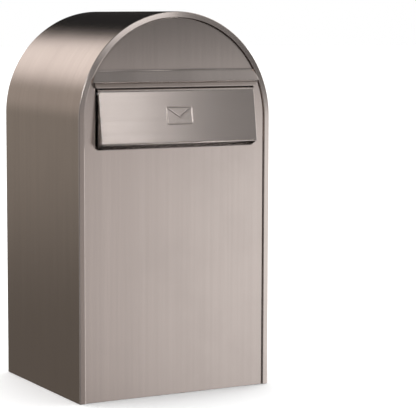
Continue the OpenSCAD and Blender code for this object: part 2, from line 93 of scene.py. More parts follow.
DOOR_GAP = 1.5 * MM
JAMB_BEND = 1.2 * MM
JAMB = BACK_Y - seal_low.y   # depth of the folds beside and above the door
JAMB_RINGS = (               # the fold's rings: depth, and step into the opening
    (JAMB_BEND * 0.3, JAMB_BEND * 0.7),
    (JAMB_BEND, JAMB_BEND),
    (JAMB, JAMB_BEND),
)
CROWN_SHARE = 0.9            # width of the middle columns where the sheet is narrower than the door

LEG_STEPS = 6
ARCH_STEPS = 128
BEND_STEPS = 6

# ---- hood: slopes are given as distance forward for each distance down ----

CREASE_Z = 517.5 * MM        # the sheet starts to stand out here
EDGE_Z = 500.5 * MM          # it stands out furthest here
BAND_LOW_Z = hood_low.z - 1.2 * MM
HOOD_OUT = 7.5 * MM
HOOD_SLOPE = HOOD_OUT / (CREASE_Z - EDGE_Z)
UNDERCUT = 1.25
UNDERCUT_H = 1.5 * MM
BAND_LEAN = 0.13
BAND_FLARE = 0.05
FLARE_H = 1.3 * MM
CREASE_SOFT = 0.5 * MM
EDGE_SOFT = 0.25 * MM
FLARE_SOFT = 0.2 * MM
CREASE_WAVE = 0.3 * MM       # the pressed crease isn't quite straight
CREASE_WAVE_RATES = (43, 17)
CREASE_WAVE_SHIFT = 1.3
BAND_HALF = 145.5 * MM
BAND_TAPER = 3.0 * MM
BAND_CORNER = 3.2 * MM
CORNER_SHARE = 2.4           # the corner takes up the last 1 / CORNER_SHARE of the band's height
BAND_FLANGE = 0.3 * MM
HOOD_T = 0.9 * MM
HOOD_COLUMNS = 24
HOOD_ROWS = 24
BAND_ROWS = 5

# Rows of the hood's sheet, close where it bends. In millimetres: (up, back) for the rolled
# hem and up for the band's foot, both from BAND_LOW_Z, and up from EDGE_Z for the edge.
HEM = ((0.0, 1.0), (0.03, 0.5), (0.15, 0.2), (0.35, 0.05))
FOOT_ROWS = (0.3, 0.6, 0.9, 1.15, 1.4, 1.7, 2.1)
EDGE_ROWS = (-2.0, -1.75, -1.55, -1.35, -1.1, -0.8, -0.5, -0.25, -0.1,
             0.05, 0.2, 0.35, 0.6, 1.0, 1.5, 2.3)
BAND_SPAN = (BAND_LOW_Z + 2.8 * MM, EDGE_Z - 2.6 * MM)
SLOPE_SPAN = (EDGE_Z + 3.5 * MM, CREASE_Z + 5 * MM)


# ---- mesh helpers ----

def arc(centre, radius, start_deg, end_deg, steps=BEND_STEPS):
    """Points on a circle, from one angle to another."""
    angles = [math.radians(start_deg + (end_deg - start_deg) * i / steps) for i in range(steps + 1)]
    return [(centre[0] + radius * math.cos(a), centre[1] + radius * math.sin(a)) for a in angles]


def lerp(a, b, t):
    """The value a share t of the way from a to b."""
    return a + (b - a) * t


def smooth(t):
    """0 up to t = 0, 1 from t = 1, and an S curve between them."""
    t = min(max(t, 0.0), 1.0)
    return t * t * (3 - 2 * t)


def eased(value, soft):
    """Zero below zero and value above it, with a soft corner."""
    return (math.sqrt(value * value + soft * soft) + value) / 2


def new_object(name, data):
    """A new object in the scene, for a mesh, a camera or a light."""
    piece = bpy.data.objects.new(name, data)
    bpy.context.scene.collection.objects.link(piece)
    return piece


def mesh_from(name, points, faces, uvs=None):
    """A mesh object from points and faces. uvs holds one pair for each point."""
    mesh = bpy.data.meshes.new(name)
    mesh.from_pydata([tuple(p) for p in points], [], faces)
    layer = mesh.uv_layers.new(name="grain")
    if uvs:
        for loop in mesh.loops:
            layer.data[loop.index].uv = uvs[loop.vertex_index]
    mesh.update()
    return new_object(name, mesh)


def apply_modifiers(piece):
    """Replaces the piece's mesh with the result of its modifiers."""
    graph = bpy.context.evaluated_depsgraph_get()
    graph.update()
    mesh = bpy.data.meshes.new_from_object(piece.evaluated_get(graph))
    piece.modifiers.clear()
    piece.data = mesh
    return piece


def finish_shading(piece, angle_deg=32):
    """Smooth shading with sharp folds; large faces keep their own flat direction."""
    for polygon in piece.data.polygons:
        polygon.use_smooth = True
    piece.data.set_sharp_from_angle(angle=math.radians(angle_deg))
    weighted = piece.modifiers.new("normals", "WEIGHTED_NORMAL")
    weighted.keep_sharp = True
    return apply_modifiers(piece)


def face_out(piece, direction=None):
    """Welds the mesh and turns its faces outwards. Those of an open sheet look along direction."""
    work = bmesh.new()
    work.from_mesh(piece.data)
    bmesh.ops.remove_doubles(work, verts=work.verts, dist=SAME)
    bmesh.ops.recalc_face_normals(work, faces=work.faces)
    if direction is not None:
        total = sum((face.normal * face.calc_area() for face in work.faces), Vector((0, 0, 0)))
        if total.dot(direction) < 0:
            bmesh.ops.reverse_faces(work, faces=work.faces)
    work.to_mesh(piece.data)
    work.free()
    return piece


def thicken(piece, thickness, even=True):
    """Gives an open sheet its thickness, behind the side that its faces look to."""
    solid = piece.modifiers.new("sheet", "SOLIDIFY")
    solid.thickness = thickness
    solid.offset = -1
    solid.use_even_offset = even
    return apply_modifiers(piece)


def bend_edges(piece, radius, steps, share=None, least_deg=25):
    """Rounds the sheet's folds: edges with two faces that meet at more than least_deg.

    share gives each fold its part of the radius, from the ends of its edge."""
    work = bmesh.new()
    work.from_mesh(piece.data)
    layer = work.edges.layers.float.new("bevel_weight_edge")
    for edge in work.edges:
        if len(edge.link_faces) == 2 and edge.calc_face_angle(0.0) > math.radians(least_deg):
            a, b = (vert.co for vert in edge.verts)
            edge[layer] = share(a, b) if share else 1.0
    work.to_mesh(piece.data)
    work.free()
    bevel = piece.modifiers.new("bend", "BEVEL")
    bevel.limit_method = "WEIGHT"
    bevel.width = radius
    bevel.segments = steps
    bevel.use_clamp_overlap = False
    return apply_modifiers(piece)


def grid_faces(rows, columns, closed=False, skip=None):
    """Faces between rows of points. closed joins a row's ends; skip(row, column) leaves one out."""
    faces = []
    for i in range(rows - 1):
        here, above = i * columns, (i + 1) * columns
        for j in range(columns if closed else columns - 1):
            if skip and skip(i, j):
                continue
            k = (j + 1) % columns
            faces.append((here + j, here + k, above + k, above + j))
    return faces


# ---- shell ----

def wrap_path():
    """Stations up the left side, over the arch and down the right: (kind, height or angle)."""
    legs = [SPRING_Z * i / LEG_STEPS for i in range(LEG_STEPS)]
    stations = [("left", z) for z in legs]
    stations += [("arch", math.pi * i / ARCH_STEPS) for i in range(ARCH_STEPS + 1)]
    stations += [("right", z) for z in reversed(legs)]
    return stations


def place(station, r, y):
    """A section point at distance r from the centre line and depth y, at one station."""
    kind, value = station
    if kind == "left":
        return Vector((-r, y, value))
    if kind == "right":
        return Vector((r, y, value))
    return Vector((-r * math.cos(value), y, SPRING_Z + r * math.sin(value)))


def travel(station):
    """Distance along the wrap, for the grain."""
    kind, value = station
    if kind == "left":
        return value
    if kind == "arch":
        return SPRING_Z + HALF_W * value
    return SPRING_Z + HALF_W * math.pi + SPRING_Z - value


def rounded_line(corners, radius, steps=4):
    """The line through the corners, with its inner corners rounded to a radius."""
    line = [Vector(corners[0])]
    for before, corner, after in zip(corners, corners[1:], corners[2:]):
        corner = Vector(corner)
        back = (Vector(before) - corner).normalized()
        ahead = (Vector(after) - corner).normalized()
        half = back.angle(ahead) / 2
        centre = corner + (back + ahead).normalized() * (radius / math.sin(half))
        start = corner + back * (radius / math.tan(half)) - centre
        end = corner + ahead * (radius / math.tan(half)) - centre
        turn = start.angle_signed(end)
        for i in range(steps + 1):
            line.append(centre + Matrix.Rotation(-turn * i / steps, 2) @ start)
    line.append(Vector(corners[-1]))
    return line


def shell_section():
    """The shell's C section: wall, two rims that lean back outwards, and the lips behind."""
    fall = (HALF_W - RIM_IN) * math.tan(RIM_TILT)
    reach = HALF_D - RIM_BACK
    outside = rounded_line([
        (RIM_IN, -HALF_D + LIP), (RIM_IN, -reach), (HALF_W, -reach + fall),
        (HALF_W, reach - fall), (RIM_IN, reach), (RIM_IN, HALF_D - LIP)], RIM_BEND)
    near, far, deep = RIM_IN + SHELL_T, HALF_W - SHELL_T, reach - SHELL_T
    inside = rounded_line([
        (near, -HALF_D + LIP), (near, -deep), (far, -deep + fall),
        (far, deep - fall), (near, deep), (near, HALF_D - LIP)], RIM_INNER_BEND)
    return outside + inside[::-1]


def build_shell():
    """The wrap: its closed section swept up one side, over the arch and down the other."""
    path = wrap_path()
    section = shell_section()
    points = [place(station, r, y) for station in path for r, y in section]
    along = [0.0]
    for a, b in zip(section, section[1:]):
        along.append(along[-1] + math.dist(a, b))
    uvs = [(u, travel(station)) for station in path for u in along]
    n = len(section)
    faces = grid_faces(len(path), n, closed=True)
    faces.append(tuple(range(n)))
    faces.append(tuple(range((len(path) - 1) * n, len(path) * n)))
    piece = mesh_from("shell_sheet", points, faces, uvs)
    face_out(piece)
    finish_shading(piece)
    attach(piece, "housing")
    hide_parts("shell")
    return piece


# ---- front, hood and back panels ----

def edge_columns(face_y, inward):
    """Section points of a panel's folded edge, from the end of the flange to the flat."""
    bend = arc((RIM_IN - PANEL_BEND, face_y + inward * PANEL_BEND), PANEL_BEND, 0, -90 * inward)
    return [(RIM_IN, face_y + inward * TRAY)] + bend


def outline_x(z, r):
    """Half width at height z of the outline that keeps distance r from the centre line."""
    if z <= SPRING_Z:
        return r
    return math.sqrt(max(r * r - (z - SPRING_Z) ** 2, 0.0))


def panel_point(z, r, y, side):
    """Point on a panel's edge at height z; side is -1 for the left and 1 for the right."""
    return Vector((side * outline_x(z, r), y, z))


def panel_rows(low_z, high_z, marks=(), arch_steps=40):
    """Heights of a panel's rows: its marks, and close steps where the outline bends in."""
    rows = {low_z, high_z, *marks}
    first = max(low_z, SPRING_Z)
    if high_z > SPRING_Z:
        flat_r = RIM_IN - PANEL_BEND
        start = math.asin((first - SPRING_Z) / RIM_IN)
        end = math.asin(min((high_z - SPRING_Z) / flat_r, 1.0))
        for i in range(arch_steps + 1):
            rows.add(min(SPRING_Z + flat_r * math.sin(lerp(start, end, i / arch_steps)), high_z))
    rows = sorted(z for z in rows if low_z <= z <= high_z)
    return [z for i, z in enumerate(rows) if i == 0 or z - rows[i - 1] > CLOSE]


def build_front_panel():
    """Lower front sheet: folded edges at both sides, an opening, and a lintel above it."""
    edge = edge_columns(FRONT_Y, 1)
    rows = panel_rows(0.0, EDGE_Z, marks=(SLOT_LOW, SLOT_HIGH))
    points = []
    for z in rows:
        points += [panel_point(z, r, y, -1) for r, y in edge]
        points += [Vector((x, FRONT_Y, z)) for x in (-SLOT_HALF, SLOT_HALF)]
        points += [panel_point(z, r, y, 1) for r, y in reversed(edge)]
    columns = 2 * len(edge) + 2
    middle = len(edge)

    def in_slot(i, j):
        return j == middle and SLOT_LOW <= rows[i] < SLOT_HIGH

    faces = grid_faces(len(rows), columns, skip=in_slot)
    left = rows.index(SLOT_HIGH) * columns + middle
    base = len(points)
    points += [Vector((x, FRONT_Y + LINTEL, SLOT_HIGH)) for x in (-SLOT_HALF, SLOT_HALF)]
    faces.append((left, left + 1, base + 1, base))
    uvs = [(p.x, p.z) for p in points]
    piece = mesh_from("front_sheet", points, faces, uvs)
    face_out(piece, Vector((0, -1, 0)))
    thicken(piece, SHEET_T)
    finish_shading(piece)
    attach(piece, "housing")
    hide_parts("front_panel")
    return piece


def hood_height(x, z):
    """How far the upper sheet stands out: a slope, an undercut and the band, going down."""
    rate_a, rate_b = CREASE_WAVE_RATES
    wave = CREASE_WAVE * math.sin(x * rate_a) * math.sin(x * rate_b + CREASE_WAVE_SHIFT)
    rise = HOOD_SLOPE * eased(CREASE_Z + wave - z, CREASE_SOFT)
    rise -= (HOOD_SLOPE + UNDERCUT) * eased(EDGE_Z - z, EDGE_SOFT)
    rise += (UNDERCUT - BAND_LEAN) * eased(EDGE_Z - UNDERCUT_H - z, EDGE_SOFT)
    return rise + (BAND_LEAN + BAND_FLARE) * eased(BAND_LOW_Z + FLARE_H - z, FLARE_SOFT)


def band_half(z):
    """Half width of the band, which tapers a little and has rounded lower corners."""
    drop = (EDGE_Z - z) / (EDGE_Z - BAND_LOW_Z)
    into_corner = max(drop * CORNER_SHARE - (CORNER_SHARE - 1), 0.0)
    corner = BAND_CORNER * (1 - math.sqrt(max(1 - into_corner ** 2, 0.0)))
    return BAND_HALF - BAND_TAPER * drop - corner


def hood_edge_point(z, back, r, y, side):
    """Point of the sheet's folded edge. back is how far the hem lies behind the band's face."""
    on_band = z <= EDGE_Z
    on_flange = y > FRONT_Y + PANEL_BEND + SAME
    x = band_half(z) - (RIM_IN - r) if on_band else outline_x(z, r)
    if not on_flange:
        y -= hood_height(x, z) - back
    elif on_band:
        y = FRONT_Y + BAND_FLANGE
    return Vector((side * x, y, z))


def hood_lines():
    """The sheet's rows from its hem to the crown: (height, distance behind the face)."""
    hem = [(BAND_LOW_Z + up * MM, back * MM) for up, back in HEM]
    rows = [BAND_LOW_Z + up * MM for up in FOOT_ROWS]
    rows += [lerp(*BAND_SPAN, i / BAND_ROWS) for i in range(BAND_ROWS + 1)]
    rows += [EDGE_Z + up * MM for up in EDGE_ROWS]
    slope = [lerp(*SLOPE_SPAN, i / HOOD_ROWS) for i in range(HOOD_ROWS + 1)]
    rows += panel_rows(slope[0], ARCH_TOP, marks=slope, arch_steps=90)
    return hem + [(z, 0.0) for z in rows]


def build_hood_panel():
    """Half-round upper sheet, pressed out into a hood that ends in an upright band."""
    edge = edge_columns(FRONT_Y, 1)
    shares = [i / HOOD_COLUMNS for i in range(1 - HOOD_COLUMNS, HOOD_COLUMNS)]
    lines = hood_lines()
    points = []
    for z, back in lines:
        flat = hood_edge_point(z, back, RIM_IN - PANEL_BEND, FRONT_Y, 1).x
        points += [hood_edge_point(z, back, r, y, -1) for r, y in edge]
        for x in (share * flat for share in shares):
            points.append(Vector((x, FRONT_Y + back - hood_height(x, z), z)))
        points += [hood_edge_point(z, back, r, y, 1) for r, y in reversed(edge)]
    faces = grid_faces(len(lines), 2 * len(edge) + len(shares))
    uvs = [(p.x, p.z) for p in points]
    piece = mesh_from("hood_sheet", points, faces, uvs)
    face_out(piece, Vector((0, -1, 0)))
    thicken(piece, HOOD_T, even=False)
    finish_shading(piece, angle_deg=50)
    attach(piece, "housing")
    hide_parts("hood_panel")
    return piece


def build_back_panel():
    """Back sheet: half-round top and two stiles, with the door opening's edges folded in."""
    edge = edge_columns(BACK_Y, -1)
    half = door_high.x + DOOR_GAP + JAMB_BEND
    top_z = door_high.z + DOOR_GAP
    fold_z = top_z + JAMB_BEND
    rows = panel_rows(0.0, ARCH_TOP, marks=(top_z, fold_z), arch_steps=80)
    points = []
    for z in rows:
        flat = outline_x(z, RIM_IN - PANEL_BEND)
        inner = min(half, flat * CROWN_SHARE)
        points += [panel_point(z, r, y, -1) for r, y in edge]
        points += [Vector((x, BACK_Y, z)) for x in (-inner, inner)]
        points += [panel_point(z, r, y, 1) for r, y in reversed(edge)]
    columns = 2 * len(edge) + 2
    middle = len(edge)
    top_row = rows.index(fold_z)

    def in_opening(i, j):
        return j == middle and i < top_row

    faces = grid_faces(len(rows), columns, skip=in_opening)
    rim = [i * columns + middle for i in range(top_row + 1)]
    rim += [i * columns + middle + 1 for i in range(top_row, -1, -1)]
    opening = [points[index] for index in rim]
    previous = rim
    for depth, step in JAMB_RINGS:
        ring = []
        for p in opening:
            x = p.x + (step if p.x < 0 else -step)
            z = min(p.z, fold_z) - (step if p.z >= fold_z - SAME else 0.0)
            ring.append(len(points))
            points.append(Vector((x, BACK_Y - depth, z)))
        for k in range(len(ring) - 1):
            faces.append((previous[k], previous[k + 1], ring[k + 1], ring[k]))
        previous = ring
    uvs = [(p.x, p.z) for p in points]
    piece = mesh_from("back_sheet", points, faces, uvs)
    face_out(piece, Vector((0, 1, 0)))
    thicken(piece, SHEET_T, even=False)
    finish_shading(piece)
    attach(piece, "housing")
    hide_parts("back_panel")
    return piece


# ---- flap: its section is given as (y, z) ----

FLAP_HALF = flap_high.x
FLAP_TOP_Z = flap_high.z + 1.0 * MM
FLAP_BACK_Y = panel_low.y - 1.4 * MM
FLAP_FACE_TOP = (panel_low.y - 7.6 * MM, FLAP_TOP_Z)
FLAP_FACE_LOW = (flap_low.y, 404.5 * MM)
CHIN_BACK = (FLAP_BACK_Y, flap_low.z)
FLAP_AXIS = (panel_low.y - 1.5 * MM, 483 * MM)
FLAP_EAR_R = 5.2 * MM
FLAP_CURL = 5.0 * MM         # bend along the top
FLAP_BEND = 2.0 * MM         # bends at the other edges
CURL_BACK = 3 * MM           # how far the curl's sheet reaches behind the flap's back edges
CURL_ROOM = 0.2 * MM
RELIEF = 2.1 * MM            # small opening in each upper corner
NOTCH = 8.5 * MM             # width of the cut in the curl beside each hinge
NOTCH_ROOM = 0.05 * MM
CURL_FRONT = 1.2 * MM        # the curl's rolled front, which the cut leaves

EMBLEM_W = 46 * MM
EMBLEM_H = 28 * MM
EMBLEM_CORNER = 3 * MM
EMBLEM_MARGIN = 3 * MM
EMBLEM_LINE = 1.7 * MM
EMBLEM_RISE = 0.7 * MM
LINE_SHARE = 0.62            # half of a line's foot, as a share of its width
CREASE_WIDER = 1.45
CREASE_INSET = 2 * MM
CREASE_TIP = 2.4 * MM        # where the envelope's creases meet, below its middle


def segment_distance(p, a, b):
    """Distance from p to the line between a and b."""
    d = b - a
    t = min(max((p - a).dot(d) / d.length_squared, 0.0), 1.0)
    return (p - a - d * t).length


def envelope_rise(x, s):
    """Height of the pressed envelope at (x, s) measured from the middle of the face."""
    w, h = EMBLEM_W / 2, EMBLEM_H / 2
    over_x = abs(x) - w + EMBLEM_CORNER
    over_s = abs(s) - h + EMBLEM_CORNER
    if max(over_x, over_s) > 0:
        reach = math.hypot(max(over_x, 0.0), max(over_s, 0.0))
    else:
        reach = max(over_x, over_s)
    outline = abs(reach - EMBLEM_CORNER + EMBLEM_LINE / 2)
    tip = Vector((0, -CREASE_TIP))
    corners = [Vector((side * (w - CREASE_INSET), h - CREASE_INSET)) for side in (-1, 1)]
    crease = min(segment_distance(Vector((x, s)), corner, tip) for corner in corners)
    near = min(outline, crease / CREASE_WIDER) / (EMBLEM_LINE * LINE_SHARE)
    return EMBLEM_RISE * (1 - smooth(near))


def spaced(low, high, fine_low, fine_high, coarse, fine):
    """Rising values from low to high, closer together between fine_low and fine_high."""
    parts = [(low, fine_low, coarse), (fine_low, fine_high, fine), (fine_high, high, coarse)]
    values = []
    for a, b, n in parts:
        values += [lerp(a, b, i / n) for i in range(n)]
    return values + [high]


def flap_columns():
    """The flap's columns from left to right: close over the emblem, and at the cuts."""
    fine = EMBLEM_W / 2 + EMBLEM_MARGIN
    xs = spaced(-FLAP_HALF, FLAP_HALF, -fine, fine, coarse=10, fine=104)
    for x in (FLAP_HALF - RELIEF, FLAP_HALF - SHEET_T - NOTCH):
        xs += [-x, x]
    return sorted(xs)


def flap_rows(length):
    """The face's rows, measured down from its top: the curl, the relief, then the emblem."""
    middle = length / 2
    fine = EMBLEM_H / 2 + EMBLEM_MARGIN
    rows = spaced(0.0, length, middle - fine, middle + fine, coarse=3, fine=68)
    curl_end = FLAP_CURL + CURL_ROOM
    rows[1:1] = [curl_end, curl_end + RELIEF]
    return rows


def build_flap():
    """The flap's one sheet: leaning face, chin, side returns and the curl along its top."""
    top, low = Vector(FLAP_FACE_TOP), Vector(FLAP_FACE_LOW)
    down = low - top
    normal = Vector((down.y, -down.x)).normalized()
    xs = flap_columns()
    rows = flap_rows(down.length)
    points = []
    for s in rows:
        base = top + down * (s / down.length)
        for x in xs:
            y, z = base + normal * envelope_rise(x, down.length / 2 - s)
            points.append(Vector((x, y, z)))
    n = len(xs)

    def relief(i, j):
        return i == 1 and j in (0, n - 2)

    faces = grid_faces(len(rows), n, skip=relief)
    last = (len(rows) - 1) * n
    chin = len(points)
    points += [Vector((x, *CHIN_BACK)) for x in xs]
    faces += [(last + j, last + j + 1, chin + j + 1, chin + j) for j in range(n - 1)]
    back = len(points)
    points += [Vector((x, FLAP_BACK_Y + CURL_BACK, FLAP_TOP_Z)) for x in xs]
    faces += [(j, j + 1, back + j + 1, back + j) for j in range(n - 1)]
    ear = [(FLAP_BACK_Y, FLAP_AXIS[1] - FLAP_EAR_R)]
    ear += arc(FLAP_AXIS, FLAP_EAR_R, -90, 90, steps=10)
    ear.append((FLAP_BACK_Y, FLAP_TOP_Z))
    for j in (0, n - 1):
        rim = [i * n + j for i in range(len(rows))] + [chin + j]
        first = len(points)
        points += [Vector((xs[j], y, z)) for y, z in ear]
        faces.append(tuple(rim + list(range(first, len(points)))))
    uvs = [(p.z, p.x) for p in points]
    piece = mesh_from("flap_sheet", points, faces, uvs)
    face_out(piece, Vector((0, -1, 0)))

    def share(a, b):
        """All of the curl along the top, no bend inside the face, a small bend elsewhere."""
        inside = max(abs(a.x), abs(b.x)) < FLAP_HALF - CLOSE and min(a.z, b.z) > low.y + CLOSE
        if min(a.z, b.z) > FLAP_TOP_Z - CLOSE:
            return 1.0
        return 0.0 if inside else FLAP_BEND / FLAP_CURL

    bend_edges(piece, FLAP_CURL, steps=6, share=share)
    open_notches(piece)
    thicken(piece, SHEET_T)
    finish_shading(piece, angle_deg=60)
    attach(piece, "flap")
    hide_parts("mail_flap")
    return piece


def open_notches(piece):
    """Cuts the curl back at both ends, where the hinge eyes stand behind it."""
    outer = FLAP_HALF - RELIEF + NOTCH_ROOM
    inner = FLAP_HALF - SHEET_T - NOTCH
    front = FLAP_FACE_TOP[0] + CURL_FRONT
    low = FLAP_TOP_Z - FLAP_CURL
    work = bmesh.new()
    work.from_mesh(piece.data)
    gone = []
    for face in work.faces:
        centre = face.calc_center_median()
        if inner < abs(centre.x) < outer and centre.y > front and centre.z > low:
            gone.append(face)
    bmesh.ops.delete(work, geom=gone, context="FACES")
    work.to_mesh(piece.data)
    work.free()


# ---- door ----

DOOR_BEND = 1.3 * MM
DOOR_FLANGE = 15 * MM
DOOR_HOLE_R = 9.5 * MM
DOOR_HOLE_STEPS = 48
DOOR_PATCH = 20 * MM         # half of the square patch that holds the lock's hole


def build_door():
    """Door tray: flat skin with rounded folds and four flanges."""
    half, low, high = door_high.x, door_low.z, door_high.z
    lock_z = (lock_low.z + lock_high.z) / 2
    steps = DOOR_HOLE_STEPS
    angles = [2 * math.pi * i / steps for i in range(steps)]
    points = []
    for a in angles:
        x, z = DOOR_HOLE_R * math.cos(a), DOOR_HOLE_R * math.sin(a)
        points.append(Vector((x, BACK_Y, lock_z + z)))
    for a in angles:
        reach = DOOR_PATCH / max(abs(math.cos(a)), abs(math.sin(a)))
        points.append(Vector((reach * math.cos(a), BACK_Y, lock_z + reach * math.sin(a))))
    faces = [(i, (i + 1) % steps, steps + (i + 1) % steps, steps + i) for i in range(steps)]
    xs = [-half, -DOOR_PATCH, DOOR_PATCH, half]
    zs = [low, lock_z - DOOR_PATCH, lock_z + DOOR_PATCH, high]
    n = len(xs)
    grid = len(points)
    points += [Vector((x, BACK_Y, z)) for z in zs for x in xs]
    skin = grid_faces(n, n, skip=lambda i, j: i == 1 and j == 1)
    faces += [tuple(grid + k for k in face) for face in skin]
    rim = list(range(n)) + [i * n + n - 1 for i in range(1, n)]
    rim += [n * n - i for i in range(2, n + 1)] + [i * n for i in range(n - 2, 0, -1)]
    flange = len(points)
    for k in rim:
        corner = points[grid + k]
        points.append(Vector((corner.x, BACK_Y - DOOR_FLANGE, corner.z)))
    for i in range(len(rim)):
        j = (i + 1) % len(rim)
        faces.append((grid + rim[i], grid + rim[j], flange + j, flange + i))
    uvs = [(p.x, p.z) for p in points]
    piece = mesh_from("door_sheet", points, faces, uvs)
    face_out(piece, Vector((0, 1, 0)))
    bend_edges(piece, DOOR_BEND, steps=4)
    thicken(piece, SHEET_T)
    finish_shading(piece)
    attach(piece, "door")
    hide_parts("door_panel")
    return piece


# ---- node trees ----

# The mix node has sockets for numbers and vectors too. These are its colour sockets.
COLOR_A, COLOR_B, COLOR_OUT = 6, 7, 2


class Graph:
    """Short calls for building a node tree."""

    def __init__(self, tree):
        self.tree = tree

    def add(self, kind, **settings):
        node = self.tree.nodes.new(kind)
        for key, value in settings.items():
            setattr(node, key, value)
        return node

    def feed(self, socket, value):
        """Sets a socket to a number or a colour, or links another node's output to it."""
        if isinstance(value, (int, float)):
            socket.default_value = value
        elif isinstance(value, tuple):
            socket.default_value = (*value, 1.0)
        else:
            self.tree.links.new(value, socket)

    def math(self, operation, a, b):
        node = self.add("ShaderNodeMath", operation=operation)
        self.feed(node.inputs[0], a)
        self.feed(node.inputs[1], b)
        return node.outputs[0]


class Material(Graph):
    """A material with a principled shader, and the patterns that feed it."""

    def __init__(self, name):
        self.material = bpy.data.materials.new(name)
        self.material.use_nodes = True
        super().__init__(self.material.node_tree)
        self.shader = self.tree.nodes["Principled BSDF"]

    def set(self, socket, value):
        self.feed(self.shader.inputs[socket], value)

    def position(self):
        return self.add("ShaderNodeTexCoord").outputs["Object"]

    def noise(self, source, scale, detail, stretch=(1, 1, 1)):
        """Noise with more turns along the axes that stretch makes large."""
        mapping = self.add("ShaderNodeMapping")
        mapping.inputs["Scale"].default_value = stretch
        self.feed(mapping.inputs["Vector"], source)
        noise = self.add("ShaderNodeTexNoise")
        self.feed(noise.inputs["Scale"], scale)
        self.feed(noise.inputs["Detail"], detail)
        self.feed(noise.inputs["Roughness"], 0.6)
        self.feed(noise.inputs["Vector"], mapping.outputs["Vector"])
        return noise.outputs["Fac"]

    def spread(self, source, low, high, from_low=0.3, from_high=0.7):
        """Stretches a pattern's range from (from_low, from_high) to (low, high)."""
        node = self.add("ShaderNodeMapRange")
        self.feed(node.inputs["From Min"], from_low)
        self.feed(node.inputs["From Max"], from_high)
        self.feed(node.inputs["To Min"], low)
        self.feed(node.inputs["To Max"], high)
        self.feed(node.inputs["Value"], source)
        return node.outputs["Result"]

    def mix(self, factor, a, b):
        """Colour a where factor is 0 and colour b where it is 1."""
        node = self.add("ShaderNodeMix", data_type="RGBA")
        self.feed(node.inputs["Factor"], factor)
        self.feed(node.inputs[COLOR_A], a)
        self.feed(node.inputs[COLOR_B], b)
        return node.outputs[COLOR_OUT]

    def bump(self, height, strength, distance):
        node = self.add("ShaderNodeBump")
        self.feed(node.inputs["Strength"], strength)
        self.feed(node.inputs["Distance"], distance)
        self.feed(node.inputs["Height"], height)
        self.set("Normal", node.outputs["Normal"])


BROAD_SHARE = 0.12           # broad streaks are this much coarser than the fine ones
RUBBER_DARK = (0.012, 0.012, 0.013)
RUBBER_LIGHT = (0.03, 0.03, 0.031)


def scaled(color, factor):
    """The colour made darker or lighter, with no channel above 1."""
    return tuple(min(c * factor, 1.0) for c in color)


def brushed_steel(name, color, roughness, stretch, anisotropy, grain="grain"):
    """Brushed stainless steel: fine streaks in colour, gloss and relief, faint smudges.

    grain is the UV layer whose first direction the highlights are drawn out along."""
    m = Material(name)
    position = m.position()
    coarser = tuple(s * BROAD_SHARE for s in stretch)
    fine = m.noise(position, scale=1.0, detail=5.0, stretch=stretch)
    broad = m.noise(position, scale=1.0, detail=3.0, stretch=coarser)
    smudge = m.noise(position, scale=9.0, detail=4.0)
    tone = m.mix(m.spread(fine, 0.25, 0.75), scaled(color, 0.93), scaled(color, 1.05))
    tone = m.mix(m.spread(broad, 0.0, 0.5), tone, scaled(color, 0.9))
    tone = m.mix(m.spread(smudge, 0.0, 0.16, 0.5, 0.75), tone, scaled(color, 0.8))
    m.set("Base Color", tone)
    streaked = m.spread(fine, roughness - 0.01, roughness + 0.01)
    m.set("Roughness", m.math("ADD", streaked, m.spread(smudge, -0.005, 0.02, 0.35, 0.75)))
    m.set("Metallic", 1.0)
    m.set("Anisotropic", anisotropy)
    if grain:
        tangent = m.add("ShaderNodeTangent", direction_type="UV_MAP", uv_map=grain)
        m.set("Tangent", tangent.outputs["Tangent"])
    m.bump(fine, strength=0.03, distance=0.1 * MM)
    return m.material


def plated_metal(name, color, roughness):
    """Zinc or chrome plate with slight clouding."""
    m = Material(name)
    cloud = m.noise(m.position(), scale=160.0, detail=4.0)
    m.set("Base Color", m.mix(m.spread(cloud, 0.0, 1.0), scaled(color, 0.86), color))
    m.set("Roughness", m.spread(cloud, roughness, roughness + 0.12))
    m.set("Metallic", 1.0)
    return m.material


def rubber(name):
    """Dull black rubber with a fine speckle."""
    m = Material(name)
    speck = m.noise(m.position(), scale=700.0, detail=3.0)
    m.set("Base Color", m.mix(m.spread(speck, 0.0, 1.0), RUBBER_DARK, RUBBER_LIGHT))
    m.set("Roughness", m.spread(speck, 0.55, 0.8))
    m.bump(speck, strength=0.2, distance=0.2 * MM)
    return m.material


def paint(piece, material):
    """Gives the piece one material."""
    piece.data.materials.clear()
    piece.data.materials.append(material)


# ---- studio ----

CAMERA_AT = Vector((-1.279, -2.5585, 0.598))
CAMERA_TURN = math.radians(28.97)
CAMERA_DOWN = math.radians(6.10)
CAMERA_ROLL = math.radians(0.18)
CAMERA_LENS = 149.8          # millimetres, on a sensor 36 mm wide
SENSOR_W = 36
FLOOR_HALF = 30
FLOOR_Z = -0.5 * MM
SUN_STRENGTH = 3.6
SUN_SPREAD = math.radians(60)
SUN_TILT = math.radians(-8)
WHITE = (1.0, 1.0, 1.0)


def build_camera():
    """The photograph's view: from the front left and a little above."""
    data = bpy.data.cameras.new("camera")
    data.lens = CAMERA_LENS
    data.sensor_width = SENSOR_W
    data.clip_start = 0.05
    camera = new_object("camera", data)
    turn = Matrix.Rotation(-CAMERA_TURN, 4, "Z")
    tilt = Matrix.Rotation(math.pi / 2 - CAMERA_DOWN, 4, "X")
    roll = Matrix.Rotation(CAMERA_ROLL, 4, "Z")
    camera.matrix_world = Matrix.Translation(CAMERA_AT) @ turn @ tilt @ roll
    bpy.context.scene.camera = camera


